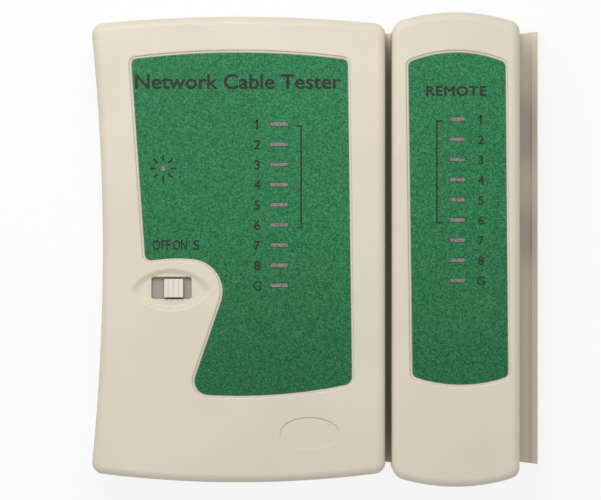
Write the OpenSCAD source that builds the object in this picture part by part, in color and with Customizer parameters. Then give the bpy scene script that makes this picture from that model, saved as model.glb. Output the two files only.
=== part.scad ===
// Network cable tester: a main unit with a battery and a remote unit that
// slides onto the main unit's side rail. The pair lies on its back: +Z points
// out of the labelled faces, +Y towards the top of the labels and +X from the
// main unit to the remote. Millimetres.

/* [Overall] */
// Length of the main unit, over its crowned ends
main_l = 104; // [98:1:125]
// Width of the main unit at its corners
main_w = 65.5; // [64:0.5:80]
// Length of the remote unit, over its crowned ends
remote_l = 106; // [100:1:127]
// Width of the remote unit, without its rail
remote_w = 28.6; // [26:0.2:36]
// Thickness of both units
body_t = 26; // [25:0.5:32]
// Gap between the docked units
unit_gap = 1.4; // [1:0.1:2]

/* [Housings] */
// Wall thickness of the housings
wall = 2; // [1.6:0.1:2.4]
// Height of the parting line between rear and front shell
part_z = 13; // [11:0.5:15]
// Depth of the hollow in the main unit's left side
waist = 2.4; // [1:0.1:4]
// Rise of the main unit's top end
main_top_rise = 1.7; // [1:0.1:4]
// Rise of the main unit's bottom end
main_bottom_rise = 2.2; // [1:0.1:4]
// Rise of both of the remote's ends
remote_rise = 2.5; // [1:0.1:4]
// Corner radius of the main unit
main_corner = 2.6; // [2.5:0.1:4]
// Radius of the remote's corners beside the main unit
remote_dock_corner = 3.6; // [2.5:0.1:5]
// Radius of the remote's corners above its rail
remote_rail_corner = 2.5; // [2.5:0.1:4]
// Radius of the front edge
front_edge = 1.8; // [0.8:0.1:2]
// Chamfer of the rear edge
rear_edge = 0.8; // [0.4:0.1:1.2]

/* [Rail] */
// How far a rail stands out of its unit
rail_w = 4.5; // [3.6:0.1:5]
// Length of a rail
rail_l = 96.4; // [90:0.2:97]
// Thickness of the rail's web
rail_t = 1.2; // [1:0.1:1.5]
// Width of the bead along the rail's free edge
bead_w = 1.35; // [1:0.05:1.6]
// Thickness of the bead
bead_t = 2.4; // [2.2:0.1:2.8]
// Height of the rail's middle plane
rail_z = 2.6; // [2.5:0.1:3]
// Sliding clearance between rail and slot
rail_clear = 0.2; // [0.1:0.05:0.3]

/* [Label] */
// Distance from the main unit's sides to its label recess
label_side = 8.6; // [7:0.1:11]
// Distance from the main unit's ends to its label recess, at mid-width
label_end = 8; // [6:0.5:12]
// Distance from the remote's sides to its label recess
remote_label_side = 3.6; // [3:0.1:5]
// Depth of the label recess
recess_d = 0.6; // [0.4:0.1:0.8]
// Thickness of a label
label_t = 0.45; // [0.3:0.05:0.5]
// Gap between a label and its recess
label_clear = 0.15; // [0.1:0.05:0.4]

/* [Lamps] */
// Distance between neighbouring lamps
lamp_pitch = 4.5; // [4:0.05:4.8]
// Length of a lamp window on the main unit
lamp_w = 4; // [3:0.1:5]
// Length of a lamp window on the remote
remote_lamp_w = 3.4; // [3:0.1:4]
// Width of a lamp window
lamp_h = 0.9; // [0.7:0.1:1.4]

/* [Sockets] */
// Width of the eight-way plug space
rj45_w = 11.7; // [11:0.1:12]
// Width of the six-way plug space
rj11_w = 9.7; // [9:0.1:10]
// Height of the plug spaces
plug_h = 6.8; // [6.6:0.1:7]
// Depth of a socket body
jack_d = 16; // [14:0.5:16]
// Height of a socket body
jack_h = 12.7; // [12.4:0.1:12.9]

/* [Switch] */
// Length of the switch window
window_w = 8.9; // [8.6:0.1:10]
// Height of the switch window
window_h = 4.9; // [4.6:0.1:6]
// Length of the switch knob
knob_w = 4.15; // [3.5:0.05:4.2]
// Travel of the knob to either side
knob_travel = 1.7; // [1:0.1:1.8]

/* [Battery] */
// Length of the nine-volt battery
battery_l = 48.5; // [46:0.5:49]
// Width of the battery
battery_w = 26.5; // [25:0.5:27]
// Thickness of the battery
battery_t = 17.5; // [16:0.5:18]
// Length of the battery door across the unit
door_w = 52; // [50:0.5:53]

/* [Hidden] */
$fn = 48;
eps = 0.01;

case_colour = [0.88, 0.85, 0.77];
label_colour = [0.2, 0.47, 0.31];
board_colour = [0.1, 0.35, 0.18];
chip_colour = [0.12, 0.12, 0.13];
jack_colour = [0.14, 0.14, 0.15];
metal_colour = [0.75, 0.75, 0.76];
gold_colour = [0.85, 0.68, 0.3];
lamp_colour = [0.75, 0.66, 0.62];

// Sides of the two units
main_x0 = -(main_w + unit_gap + remote_w + rail_w) / 2;
main_x1 = main_x0 + main_w;
main_cx = (main_x0 + main_x1) / 2;
remote_x0 = main_x1 + unit_gap;
remote_x1 = remote_x0 + remote_w;
remote_cx = (remote_x0 + remote_x1) / 2;

// A unit is [left, right, length, top rise, bottom rise, waist,
// steps along the left side, left corner radius, right corner radius]
MAIN = [main_x0, main_x1, main_l, main_top_rise, main_bottom_rise, waist, 12,
        main_corner, main_corner];
REMOTE = [remote_x0, remote_x1, remote_l, remote_rise, remote_rise, 0.02, 1,
          remote_dock_corner, remote_rail_corner];
end_steps = 12;
corner_steps = 5;
edge_steps = 3;

// Levels above the surface that the tester lies on
front_in = body_t - wall;
recess_z = body_t - recess_d;
label_z = recess_z + label_t;
board_t = 1.6;
board_front = front_in - 5.4;
board_rear = board_front - board_t;
jack_z0 = board_rear - jack_h;
plug_z0 = jack_z0 + 1.2;
plug_z1 = plug_z0 + plug_h;

// Fits inside a housing
lip_h = 1.2;
lip_clear = 0.1;
jack_clear = 0.25;
board_clear = 0.9;

// Screws
screw_r = 1.3;
screw_clear = 0.05;
screw_hole_r = 1.5;
head_r = 2.4;
head_h = 1.6;
head_z = 3;
sink_r = 2.7;
boss_r = 2.8;
remote_screw_y = remote_l / 2 - 6.5;

// Rail, with its bottom end nearer the bottom of the unit
rail_y = 0.4;
rail_slope = 0.5;
slot_end_y = rail_y + rail_l / 2 + rail_slope + rail_clear;
slot_wall = 1.1;
slot_block_w = rail_w - unit_gap + rail_clear + slot_wall;
slot_block_gap = 4;
slot_block_h = rail_z + bead_t / 2 + rail_clear + slot_wall + 0.3;

// Labels: their heights, how their lower ends splay, and the notch round the switch
main_label_h = 76.8;
remote_label_h = 74.3;
remote_label_end = 8.9;
label_splay = 0.95;
notch_y = -2;
notch_arch = 0.6;
notch_in = 3.2;
notch_in_r = 1.5;
notch_mid = 0.8;
notch_mid_r = 34;
notch_shoulder = 13.95;
notch_shoulder_r = 7.2;
notch_foot = 3.85;
notch_foot_r = 3.2;

// Lamps and sockets
lamp_x = main_cx + 9.05;
lamp_y = 28;
remote_lamp_x = remote_cx + 0.4;
remote_lamp_y = 29.1;
power_x = main_cx - 16.85;
power_y = 18.1;
power_r = 0.7;
lamp_gap = 0.1;
lamp_sink = 0.05;
lamp_case = 0.4;
lead_x = 1.27;
lead_half = 0.25;
rj45_y = 27;
rj11_y = 3.5;
jack_wall = 0.9;
jack_front = 0.3;
plug_d = 12.5;
latch_w = 6.2;
latch_h = 2.2;

// Switch
switch_x = main_cx - 15;
switch_y = -8.6;
knob_x = switch_x + 0.5;
knob_h = 4.1;
knob_top = body_t + 0.2;
knob_z0 = board_front + 2.9;
groove_w = 0.4;
groove_d = 0.4;
plate_t = 0.7;
plate_gap = 0.15;
plate_z1 = front_in - plate_gap;
plate_z0 = plate_z1 - plate_t;
switch_top = plate_z0 - plate_gap;
lens_w = 17.9;
lens_h = 9.4;
lens_d = 0.7;

// Blank oval pad
badge_x = main_cx + 15.85;
badge_y = 11 - main_l / 2;
badge_w = 13.5;
badge_h = 7.2;
badge_d = 0.4;

// Screws of the main unit, clear of the knob's plate
main_screw_x = [main_x0 + 7.2, main_x1 - 6.2];
main_screw_y = [main_l / 2 - 8, switch_y - 4.8];

// Battery bay
bay_wall = 1.5;
bay_slack = 3.1;
bay_y0 = main_bottom_rise + wall - main_l / 2;
bay_y1 = bay_y0 + battery_w + bay_slack;
board_y0 = bay_y1 + bay_wall + 0.7;
battery_z0 = wall + 0.4;
battery_x0 = main_x0 + 7.3;
battery_x1 = battery_x0 + battery_l;
battery_y1 = bay_y1 - 1.5;
battery_cy = battery_y1 - battery_w / 2;
battery_cz = battery_z0 + battery_t / 2;
door_x0 = battery_x0 - 1.1;
door_y1 = bay_y1 - 0.3;
door_t = wall - 0.05;
door_clear = 0.15;
tongue = 1.2;
tongue_z = 1;
door_lift = 0.2;
door_foot = 4 - main_l / 2;
groove_n = 5;
groove_pitch = 2.2;
guide_h = 1.1;
snap_t = 3.6;
snap_half = battery_w / 2 - 0.75;
lead_gap = 0.1;

// ---- Shape functions ----

// Point at angle a on a circle
function on_circle(c, r, a) = c + r * [cos(a), sin(a)];

// Points of an arc, without its last one
function arc(c, r, a0, a1, n) = [for (i = [0:n - 1]) on_circle(c, r, a0 + (a1 - a0) * i / n)];

// Radius of an arc with half chord h and rise s
function sag_r(h, s) = (h * h + s * s) / (2 * s);

// Direction from one point to another, between 0 and 360 degrees
function dir(a, b) = let (t = atan2(b[1] - a[1], b[0] - a[0])) t < 0 ? t + 360 : t;

// Meeting point of two circles, left of the line from a to b
function meet(a, ra, b, rb) =
    let (
        d = norm(b - a),
        u = (b - a) / d,
        p = (d * d + ra * ra - rb * rb) / (2 * d)
    )
    a + p * u + sqrt(ra * ra - p * p) * [-u[1], u[0]];

// Outline of a unit, moved inwards by d
function outline(unit, d) =
    let (
        half = (unit[1] - unit[0]) / 2,
        cx = (unit[0] + unit[1]) / 2,
        rt = sag_r(half, unit[3]),
        rb = sag_r(half, unit[4]),
        rw = sag_r(unit[2] / 2 - unit[3] - unit[7], unit[5]),
        ct = [cx, unit[2] / 2 - rt],
        cb = [cx, rb - unit[2] / 2],
        cw = [unit[0] + unit[5] - rw, 0],
        rl = unit[7],
        rr = unit[8],
        xr = unit[1] - rr,
        k_tr = [xr, ct[1] + sqrt(pow(rt - rr, 2) - pow(xr - cx, 2))],
        k_br = [xr, cb[1] - sqrt(pow(rb - rr, 2) - pow(xr - cx, 2))],
        k_tl = meet(cw, rw + rl, ct, rt - rl),
        k_bl = meet(cb, rb - rl, cw, rw + rl),
        dl = max(rl - d, 0.05),
        dr = max(rr - d, 0.05)
    )
    concat(
        arc(k_br, dr, dir(cb, k_br), 360, corner_steps),
        arc(k_tr, dr, 0, dir(ct, k_tr), corner_steps),
        arc(ct, rt - d, dir(ct, k_tr), dir(ct, k_tl), end_steps),
        arc(k_tl, dl, dir(ct, k_tl), dir(k_tl, cw), corner_steps),
        arc(cw, rw + d, dir(cw, k_tl), dir(cw, k_bl) - 360, unit[6]),
        arc(k_bl, dl, dir(k_bl, cw), dir(cb, k_bl), corner_steps),
        arc(cb, rb - d, dir(cb, k_bl), dir(cb, k_br), end_steps)
    );

// Ring of a unit's outline at height z, moved inwards by d
function ring(unit, d, z) = [for (p = outline(unit, d)) [p[0], p[1], z]];

// Corner of a polygon rounded to radius r, between its neighbours a and b
function fillet(a, p, b, r, n) =
    let (
        u = (a - p) / norm(a - p),
        v = (b - p) / norm(b - p),
        half = acos(u * v) / 2,
        c = p + (u + v) / norm(u + v) * r / sin(half),
        a0 = dir(c, p + u * r / tan(half)),
        turn = dir(c, p + v * r / tan(half)) - a0,
        sweep = turn > 180 ? turn - 360 : (turn < -180 ? turn + 360 : turn)
    )
    [for (i = [0:n]) on_circle(c, r, a0 + sweep * i / n)];

// Polygon through corners [x, y, radius], a radius of 0 keeping its corner
function rounded(corners) =
    let (n = len(corners))
    [for (i = [0:n - 1])
        let (
            q = corners[i],
            a = corners[(i + n - 1) % n],
            b = corners[(i + 1) % n]
        )
        each (q[2] == 0
            ? [[q[0], q[1]]]
            : fillet([a[0], a[1]], [q[0], q[1]], [b[0], b[1]], q[2], 5))];

// Points between two ends of a crowned edge around x = cx, radius r, apex y
function crown(x0, x1, cx, apex, r, n) =
    [for (i = [1:n - 1])
        let (x = x0 + (x1 - x0) * i / n)
        [x, apex - sign(r) * (abs(r) - sqrt(r * r - pow(x - cx, 2))), 0]];

// End of such an edge, with its corner radius
function crown_end(x, cx, apex, r, corner) =
    [x, apex - sign(r) * (abs(r) - sqrt(r * r - pow(x - cx, 2))), corner];

// ---- Shape modules ----

// Solid through rings of equal length, from the lowest one up
module loft(rings) {
    n = len(rings[0]);
    last = (len(rings) - 1) * n;
    points = [for (r = rings) for (p = r) p];
    sides = [for (k = [0:n:last - n]) for (i = [0:n - 1])
        let (j = (i + 1) % n) [k + i, k + n + i, k + n + j, k + j]];
    floor_face = [for (i = [0:n - 1]) i];
    top_face = [for (i = [n - 1:-1:0]) last + i];
    polyhedron(points, concat(sides, [floor_face, top_face]), convexity = 6);
}

// Straight-sided block of a unit's outline, from z0 to z1
module prism(unit, d, z0, z1) {
    translate([0, 0, z0])
        linear_extrude(z1 - z0)
            polygon(outline(unit, d));
}

// Box between two corners
module box(a, b) {
    translate(a)
        cube(b - a);
}

// Upright cylinder at [x, y] from z0 to z1
module post(at, r, z0, z1) {
    translate([at[0], at[1], z0])
        cylinder(h = z1 - z0, r = r);
}

// Flat shape from z0 to z1
module slab(points, z0, z1) {
    translate([0, 0, z0])
        linear_extrude(z1 - z0)
            polygon(points);
}

// ---- Housings ----

// Front half of a unit: rounded front edge, open at the parting line
module front_skin(unit) {
    steps = [for (i = [0:edge_steps]) 90 * i / edge_steps];
    rounding = [for (a = steps)
        ring(unit, front_edge * (1 - cos(a)), body_t - front_edge * (1 - sin(a)))];
    difference() {
        loft(concat([ring(unit, 0, part_z)], rounding));
        prism(unit, wall, part_z - 1, front_in);
    }
    difference() {
        prism(unit, wall / 2 + lip_clear, part_z - lip_h, part_z + eps);
        prism(unit, wall, part_z - lip_h - 1, part_z + 1);
    }
}

// Rear half of a unit: chamfered rear edge, rebate for the front half's lip
module rear_skin(unit) {
    difference() {
        loft([ring(unit, rear_edge, 0), ring(unit, 0, rear_edge), ring(unit, 0, part_z)]);
        prism(unit, wall, wall, part_z + 1);
        prism(unit, wall / 2, part_z - lip_h - lip_clear, part_z + 1);
    }
}

// Room that a socket body needs in the right side wall of a unit
module jack_cut(unit, y, plug_w) {
    half = plug_w / 2 + jack_wall + jack_clear;
    x1 = unit[1];
    box([x1 - wall - 1.2, y - half, jack_z0 - jack_clear],
        [x1 + 1, y + half, board_rear + jack_clear]);
}

// Rail along the right side of a unit
module rail(unit) {
    x0 = unit[1] - wall / 2;
    x1 = unit[1] + rail_w;
    xb = x1 - bead_w;
    half = rail_l / 2;
    flare = rail_slope * (rail_w - bead_w) / rail_w;
    slab([[x0, rail_y - half], [unit[1], rail_y - half], [x1, rail_y - half - rail_slope],
          [x1, rail_y + half + rail_slope], [unit[1], rail_y + half], [x0, rail_y + half]],
         rail_z - rail_t / 2, rail_z + rail_t / 2);
    slab([[xb, rail_y - half - flare], [x1, rail_y - half - rail_slope],
          [x1, rail_y + half + rail_slope], [xb, rail_y + half + flare]],
         rail_z - bead_t / 2, rail_z + bead_t / 2);
}

// Slot for the neighbour's rail, open at the bottom end
module rail_slot(unit) {
    x1 = unit[0] - unit_gap + rail_w + rail_clear;
    xb = x1 - bead_w - 2 * rail_clear;
    web = rail_t / 2 + rail_clear;
    bead = bead_t / 2 + rail_clear;
    box([unit[0] - 1, -unit[2], rail_z - web], [xb + eps, slot_end_y, rail_z + web]);
    box([xb, -unit[2], rail_z - bead], [x1, slot_end_y, rail_z + bead]);
}

// Screw column on a rear shell's floor, up to height z1
module rear_column(at, z1) {
    post(at, boss_r, wall / 2, z1);
}

// Bore and head sink of a screw column
module column_bore(at, z1) {
    post(at, screw_hole_r, -1, z1 + 1);
    post(at, sink_r, -1, head_z + 0.05);
}

// Boss under a front shell, down to height z0
module front_boss(at, z0) {
    difference() {
        post(at, boss_r, z0, front_in + eps);
        post(at, screw_r + screw_clear, z0 - 1, front_in - 1);
    }
}

// Corners of the main label's recess, with the notch for the switch
main_label_corners =
    let (
        x0 = main_x0 + label_side,
        x1 = main_x1 - label_side + 0.3,
        x2 = x1 + label_splay,
        top_r = 190,
        bottom_r = 118,
        corner = 1.3,
        top = main_l / 2 - label_end + 0.1,
        bottom = top - main_label_h,
        foot_x = switch_x + notch_foot
    )
    concat(
        [crown_end(x2, main_cx, bottom, -bottom_r, 2), crown_end(x1, main_cx, top, top_r, corner)],
        crown(x1, x0, main_cx, top, top_r, 12),
        [crown_end(x0, main_cx, top, top_r, corner), [x0 + notch_in, notch_y - notch_arch, notch_in_r]],
        [[switch_x + notch_mid, notch_y + notch_arch / 4, notch_mid_r]],
        [[switch_x + notch_shoulder, notch_y - 1.4 * notch_arch, notch_shoulder_r]],
        [crown_end(foot_x, main_cx, bottom, -bottom_r, notch_foot_r)],
        crown(foot_x, x2, main_cx, bottom, -bottom_r, 7)
    );

// Corners of the remote label's recess
remote_label_corners =
    let (
        x0 = remote_x0 + remote_label_side,
        x1 = remote_x1 - remote_label_side + 0.5,
        x2 = x1 + 0.6,
        x3 = x0 + label_splay,
        corner = 1.4,
        top = remote_l / 2 - remote_label_end,
        bottom = top - remote_label_h,
        top_r = 28,
        bottom_r = 32,
        top_cx = (x0 + x1) / 2,
        bottom_cx = (x2 + x3) / 2
    )
    concat(
        [crown_end(x2, bottom_cx, bottom, -bottom_r, corner), crown_end(x1, top_cx, top, top_r, corner)],
        crown(x1, x0, top_cx, top, top_r, 10),
        [crown_end(x0, top_cx, top, top_r, corner), crown_end(x3, bottom_cx, bottom, -bottom_r, corner)],
        crown(x3, x2, bottom_cx, bottom, -bottom_r, 8)
    );

// Windows of the nine lamps of a unit, grown by gap
module lamp_cuts(x, y, w, gap, z0, z1) {
    for (i = [0:8])
        box([x - w / 2 - gap, y - i * lamp_pitch - lamp_h / 2 - gap, z0],
            [x + w / 2 + gap, y - i * lamp_pitch + lamp_h / 2 + gap, z1]);
}

module main_front_shell() {
    color(case_colour)
        difference() {
            union() {
                front_skin(MAIN);
                for (x = main_screw_x, y = main_screw_y)
                    front_boss([x, y], board_front);
            }
            slab(rounded(main_label_corners), recess_z, body_t + 1);
            lamp_cuts(lamp_x, lamp_y, lamp_w, lamp_gap, front_in - 1, body_t);
            post([power_x, power_y], power_r + lamp_gap, front_in - 1, body_t);
            switch_recess();
            box([switch_x - window_w / 2, switch_y - window_h / 2, front_in - 1],
                [switch_x + window_w / 2, switch_y + window_h / 2, body_t + 1]);
            blank_badge();
            jack_cut(MAIN, rj45_y, rj45_w);
            jack_cut(MAIN, rj11_y, rj11_w);
        }
}

// Pointed oval hollow around the switch window
module switch_recess() {
    r = sag_r(lens_w / 2, lens_h / 2);
    off = r - lens_h / 2;
    translate([switch_x - 0.1, switch_y - 0.4, body_t - lens_d])
        linear_extrude(2)
            intersection() {
                translate([0, off]) circle(r, $fn = 96);
                translate([0, -off]) circle(r, $fn = 96);
            }
}

// Shallow oval hollow near the bottom end
module blank_badge() {
    points = [for (a = [0:10:350])
        [badge_x + badge_w / 2 * cos(a), badge_y + badge_h / 2 * sin(a)]];
    slab(points, body_t - badge_d, body_t + 1);
}

module main_rear_shell() {
    bay_x1 = door_x0 + door_w;
    color(case_colour)
        difference() {
            union() {
                rear_skin(MAIN);
                rail(MAIN);
                for (x = main_screw_x, y = main_screw_y)
                    rear_column([x, y], board_rear);
                // Partition between the battery bay and the board
                box([main_x0 + waist + wall / 2, bay_y1, wall / 2],
                    [main_x1 - wall / 2, bay_y1 + bay_wall, part_z - lip_h - lip_clear]);
                // Thicker floor that holds the door's guides
                intersection() {
                    prism(MAIN, wall / 2, wall / 2, wall + guide_h);
                    box([main_x0, -main_l / 2, 0], [bay_x1 + 3.4, bay_y1 + eps, wall + guide_h]);
                }
            }
            for (x = main_screw_x, y = main_screw_y)
                column_bore([x, y], board_rear);
            jack_cut(MAIN, rj45_y, rj45_w);
            jack_cut(MAIN, rj11_y, rj11_w);
            // Door opening, the lower notch that the door leaves by, and the grooves
            box([door_x0, bay_y0, -1], [bay_x1, door_y1 + door_clear, wall + guide_h + 1]);
            box([door_x0, -main_l, -1], [bay_x1, bay_y0 + eps, door_t + door_lift]);
            box([door_x0 - tongue - door_clear, -main_l, tongue_z],
                [bay_x1 + tongue + door_clear, door_y1 + door_clear, door_t + door_lift]);
        }
}

module battery_door() {
    x0 = door_x0 + door_clear;
    x1 = door_x0 + door_w - door_clear;
    color(case_colour)
        difference() {
            union() {
                intersection() {
                    loft([ring(MAIN, rear_edge, 0), ring(MAIN, 0, rear_edge), ring(MAIN, 0, door_t)]);
                    box([x0, -main_l, -1], [x1, door_y1, door_t]);
                }
                box([x0 - tongue, door_foot, tongue_z + 0.1], [x0 + eps, door_y1, door_t]);
                box([x1 - eps, door_foot, tongue_z + 0.1], [x1 + tongue, door_y1, door_t]);
            }
            // Finger grooves
            for (i = [0:groove_n - 1])
                box([(x0 + x1) / 2 - 9 + i, door_foot + 4 + groove_pitch * i, -1],
                    [(x0 + x1) / 2 + 9 - i, door_foot + 4 + groove_pitch * (i + 0.5), 0.5]);
        }
}

module remote_front_shell() {
    color(case_colour)
        difference() {
            union() {
                front_skin(REMOTE);
                for (s = [-1, 1])
                    front_boss([remote_cx, s * remote_screw_y], part_z);
                for (x = board_post_x, s = [-1, 1])
                    post([x, s * board_post_y], 1.4, board_front, front_in + eps);
            }
            slab(rounded(remote_label_corners), recess_z, body_t + 1);
            lamp_cuts(remote_lamp_x, remote_lamp_y, remote_lamp_w, lamp_gap, front_in - 1, body_t);
            jack_cut(REMOTE, rj45_y, rj45_w);
            jack_cut(REMOTE, rj11_y, rj11_w);
        }
}

board_post_x = [remote_x0 + 4.9, remote_x1 - 4.5];
board_post_y = remote_l / 2 - 13.5;

module remote_rear_shell() {
    end = remote_l / 2 - slot_block_gap;
    color(case_colour)
        difference() {
            union() {
                rear_skin(REMOTE);
                rail(REMOTE);
                box([remote_x0 + wall / 2, -end, wall / 2],
                    [remote_x0 + slot_block_w, end, slot_block_h]);
                for (s = [-1, 1])
                    rear_column([remote_cx, s * remote_screw_y], part_z);
                for (x = board_post_x, s = [-1, 1])
                    post([x, s * board_post_y], 1.4, wall / 2, board_rear);
            }
            for (s = [-1, 1])
                column_bore([remote_cx, s * remote_screw_y], part_z);
            rail_slot(REMOTE);
            jack_cut(REMOTE, rj45_y, rj45_w);
            jack_cut(REMOTE, rj11_y, rj11_w);
        }
}

// ---- Labels ----

module main_label() {
    color(label_colour)
        difference() {
            slab(inset_corners(main_label_corners), recess_z, label_z);
            lamp_cuts(lamp_x, lamp_y, lamp_w, lamp_gap, recess_z - 1, body_t);
            post([power_x, power_y], power_r + lamp_gap, recess_z - 1, body_t);
        }
}

module remote_label() {
    color(label_colour)
        difference() {
            slab(inset_corners(remote_label_corners), recess_z, label_z);
            lamp_cuts(remote_lamp_x, remote_lamp_y, remote_lamp_w, lamp_gap, recess_z - 1, body_t);
        }
}

// Outline through rounded corners, moved inwards by the label's gap
function inset_corners(corners) =
    let (p = rounded(corners), n = len(p))
    [for (i = [0:n - 1])
        let (
            t = p[(i + 1) % n] - p[(i + n - 1) % n],
            u = t / norm(t)
        )
        p[i] + label_clear * [-u[1], u[0]]];

// ---- Boards and what they carry ----

module main_pcb() {
    x0 = main_x0 + waist + wall + 0.5;
    x1 = main_x1 - wall - board_clear;
    color(board_colour)
        difference() {
            box([x0, board_y0, board_rear], [x1, main_l / 2 - 5, board_front]);
            for (x = main_screw_x, y = main_screw_y)
                post([x, y], screw_hole_r, board_rear - 1, board_front + 1);
        }
}

module remote_pcb() {
    x0 = remote_x0 + wall + board_clear;
    x1 = remote_x1 - wall - board_clear;
    y1 = board_post_y + 2;
    color(board_colour)
        box([x0, -y1, board_rear], [x1, y1, board_front]);
}

// Lamp with a rectangular lens of width w, lamp number i counted from 0
module lamp(x, y, i, w) {
    cy = y - i * lamp_pitch;
    color(lamp_colour) {
        box([x - w / 2 - lamp_case, cy - 1, board_front + 1],
            [x + w / 2 + lamp_case, cy + 1, front_in - 0.2]);
        box([x - w / 2, cy - lamp_h / 2, front_in - 1],
            [x + w / 2, cy + lamp_h / 2, label_z - lamp_sink]);
    }
    lamp_leads(x, cy);
}

// Two short leads of a lamp at [x, y], down to the board
module lamp_leads(x, y) {
    color(metal_colour)
        for (s = [-1, 1])
            box([x + s * lead_x - lead_half, y - lead_half, board_front],
                [x + s * lead_x + lead_half, y + lead_half, board_front + 1.5]);
}

module main_led(i) {
    lamp(lamp_x, lamp_y, i, lamp_w);
}

module remote_led(i) {
    lamp(remote_lamp_x, remote_lamp_y, i, remote_lamp_w);
}

module power_led() {
    at = [power_x, power_y];
    color(lamp_colour) {
        post(at, 1.9, board_front + 1, board_front + 2);
        post(at, 1.5, board_front + 1.5, front_in - 0.2);
        post(at, power_r, front_in - 1, label_z - lamp_sink);
    }
    lamp_leads(power_x, power_y);
}

// Socket body whose plug space opens in the right side wall of a unit
module jack(unit, y, plug_w) {
    x1 = unit[1] - jack_front;
    half = plug_w / 2 + jack_wall;
    color(jack_colour)
        difference() {
            box([x1 - jack_d, y - half, jack_z0], [x1, y + half, board_rear]);
            box([x1 - plug_d, y - plug_w / 2, plug_z0], [x1 + 1, y + plug_w / 2, plug_z1]);
            box([x1 - plug_d + 3, y - latch_w / 2, plug_z1 - eps],
                [x1 + 1, y + latch_w / 2, plug_z1 + latch_h]);
        }
}

// Row of n spring contacts that rise from the floor of a plug space
module contacts(unit, y, n) {
    x1 = unit[1] - jack_front - 2;
    pitch = 1.02;
    wire = 0.4;
    back = x1 - plug_d + 2.5;
    color(gold_colour)
        for (i = [0:n - 1])
            translate([0, y + (i - (n - 1) / 2) * pitch + wire / 2, 0])
                rotate([90, 0, 0])
                    linear_extrude(wire)
                        polygon([[back, plug_z0], [x1, plug_z0], [x1 + 0.3, plug_z0 + 0.4],
                                 [back + 2.4, plug_z0 + 1.9], [back + 2, plug_z0 + 1.6],
                                 [x1 - 0.6, plug_z0 + 0.4], [back, plug_z0 + 0.4]]);
}

module main_rj45_jack() {
    jack(MAIN, rj45_y, rj45_w);
}

module main_rj45_contacts() {
    contacts(MAIN, rj45_y, 8);
}

module main_rj11_jack() {
    jack(MAIN, rj11_y, rj11_w);
}

module main_rj11_contacts() {
    contacts(MAIN, rj11_y, 6);
}

module remote_rj45_jack() {
    jack(REMOTE, rj45_y, rj45_w);
}

module remote_rj45_contacts() {
    contacts(REMOTE, rj45_y, 8);
}

module remote_rj11_jack() {
    jack(REMOTE, rj11_y, rj11_w);
}

module remote_rj11_contacts() {
    contacts(REMOTE, rj11_y, 6);
}

module switch_body() {
    color(metal_colour)
        difference() {
            box([switch_x - 6.5, switch_y - 3.3, board_front],
                [switch_x + 6.5, switch_y + 3.3, switch_top]);
            box([switch_x - window_w / 2, switch_y - knob_h / 2 - 0.2, knob_z0 - 0.3],
                [switch_x + window_w / 2, switch_y + knob_h / 2 + 0.2, switch_top + 1]);
        }
}

// Ridged knob on a plate that closes the window from behind at either end of its travel
module switch_knob() {
    ridge = (knob_w - 3 * groove_w) / 4;
    pitch = ridge + groove_w;
    plate_x = window_w / 2 + knob_travel + plate_gap;
    plate_y = window_h / 2 + plate_gap;
    color(case_colour)
        difference() {
            union() {
                box([knob_x - knob_w / 2, switch_y - knob_h / 2, knob_z0],
                    [knob_x + knob_w / 2, switch_y + knob_h / 2, knob_top]);
                box([switch_x - plate_x, switch_y - plate_y, plate_z0],
                    [switch_x + plate_x, switch_y + plate_y, plate_z1]);
            }
            for (i = [1:3])
                box([knob_x - knob_w / 2 + i * pitch - groove_w, switch_y - knob_h, knob_top - groove_d],
                    [knob_x - knob_w / 2 + i * pitch, switch_y + knob_h, knob_top + 1]);
        }
}

// Chip in a dual in-line case with n pins on each side, long side along Y
module chip(x, y, n) {
    pitch = 2.54;
    l = n * pitch - 0.6;
    color(chip_colour)
        difference() {
            box([x - 3.2, y - l / 2, board_front + 0.5], [x + 3.2, y + l / 2, board_front + 3.8]);
            post([x, y + l / 2], 0.8, board_front + 3.4, board_front + 5);
        }
    color(metal_colour)
        for (i = [0:n - 1], s = [-1, 1])
            box([x + s * 3.5 - 0.3 - eps, y + (i - (n - 1) / 2) * pitch - 0.4, board_front],
                [x + s * 3.5 + 0.3 + eps, y + (i - (n - 1) / 2) * pitch + 0.4, board_front + 2.4]);
}

module counter_chip() {
    chip(main_cx - 5.5, 14, 8);
}

module timer_chip() {
    chip(main_cx - 1, -6, 4);
}

// Wire-ended part lying along X, with a body of length l and radius r
module axial(x, y, l, r) {
    z = board_front + r;
    translate([x - l / 2, y, z])
        rotate([0, 90, 0])
            cylinder(h = l, r = r);
    for (s = [-1, 1])
        box([min(x + s * l / 2, x + s * (l / 2 + 1.6)), y - 0.25, board_front],
            [max(x + s * l / 2, x + s * (l / 2 + 1.6)), y + 0.25, z + 0.25]);
}

module main_resistors() {
    color([0.8, 0.68, 0.5])
        for (i = [0:7])
            axial(lamp_x + 10, lamp_y - i * lamp_pitch, 6, 1.1);
}

module main_capacitors() {
    color([0.15, 0.2, 0.35]) {
        post([main_cx - 20, 34], 2.5, board_front, board_front + 5);
        post([main_cx - 20, 27], 2, board_front, board_front + 5);
    }
}

module remote_diodes() {
    color([0.8, 0.4, 0.2])
        for (i = [0:7])
            axial(remote_cx - 6, remote_lamp_y - i * lamp_pitch, 4, 0.9);
}

// ---- Fasteners ----

// Pan-head screw driven in from the rear
module screw(at, z1) {
    color(metal_colour)
        difference() {
            union() {
                post(at, screw_r, head_z - eps, z1);
                post(at, head_r, head_z - head_h, head_z);
            }
            for (a = [0, 90])
                translate([at[0], at[1], head_z - head_h])
                    rotate(a)
                        cube([2.6, 0.5, 1.6], center = true);
        }
}

module main_screws() {
    for (x = main_screw_x, y = main_screw_y)
        screw([x, y], front_in - 2);
}

module remote_screws() {
    for (s = [-1, 1])
        screw([remote_cx, s * remote_screw_y], front_in - 4);
}

// ---- Battery ----

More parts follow.
